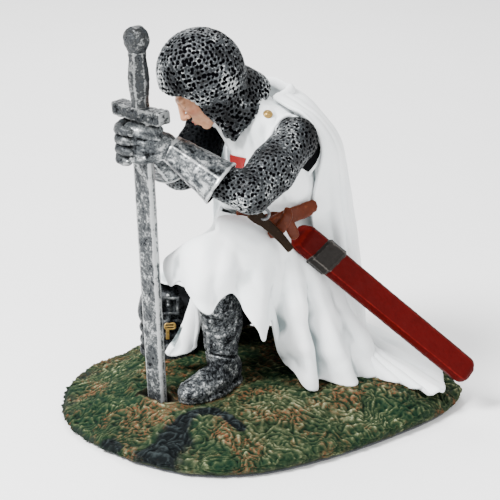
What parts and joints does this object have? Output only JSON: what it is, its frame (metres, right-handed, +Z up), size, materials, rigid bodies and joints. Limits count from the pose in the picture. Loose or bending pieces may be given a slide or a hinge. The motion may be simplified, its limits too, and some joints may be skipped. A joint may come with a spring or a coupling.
{
  "type": "miniature figure",
  "caption": "Painted miniature of a kneeling mail-clad knight in a white mantle on rough ground, hands clasped round a lift-out sword, scabbard at the left hip.",
  "frame": {"origin": "a point on the underside of the base, below the figure and near the base's middle", "axes": "+Z up, the figure faces -Y, its left side is +X"},
  "size_m": [0.0955, 0.098, 0.1068],
  "materials": {
    "felt": "felt",
    "ground_paint": "dry-brushed paint on cast resin",
    "brass": "plain brass wire",
    "steel_paint": "silver paint with a black wash",
    "mail_paint": "black paint dry-brushed with silver",
    "cloth_paint": "white paint with a thin grey wash",
    "red_paint": "red paint",
    "skin_paint": "skin-tone paint",
    "leather_paint": "brown paint",
    "dark_paint": "black paint dry-brushed with grey",
    "scabbard_paint": "glossy dark red paint",
    "gold_paint": "gold paint"
  },
  "bodies": {
    "figure": {"base_pad": "felt", "ground": "ground_paint", "dowels": "brass", "left_foot": "steel_paint", "left_shin": "steel_paint", "left_thigh": "steel_paint", "right_thigh": "steel_paint", "right_shin": "steel_paint", "right_foot": "steel_paint", "pelvis": "dark_paint", "knee_plate": "dark_paint", "knee_frame": "dark_paint", "knee_buckle": "gold_paint", "skirt": "cloth_paint", "surcoat": "cloth_paint", "mantle": "cloth_paint", "mantle_collar": "cloth_paint", "chest_cross": "red_paint", "shoulder_stud": "gold_paint", "head": "skin_paint", "hood": "mail_paint", "left_sleeve": "mail_paint", "right_sleeve": "mail_paint", "left_cuff": "steel_paint", "right_cuff": "steel_paint", "left_hand": "steel_paint", "right_hand": "steel_paint", "belt": "leather_paint", "belt_tails": "leather_paint", "belt_ring": "steel_paint", "scabbard": "scabbard_paint", "scabbard_band": "dark_paint", "scabbard_hanger": "leather_paint"},
    "sword": {"sword_blade": "steel_paint", "sword_guard": "steel_paint", "sword_grip": "steel_paint", "sword_pommel": "steel_paint"}
  },
  "joints": [
    {"name": "sword_lift", "type": "slide", "parent": "figure", "child": "sword", "axis": [0, -0.0558, 0.9984], "range_m": [0, 0.085]}
  ]
}
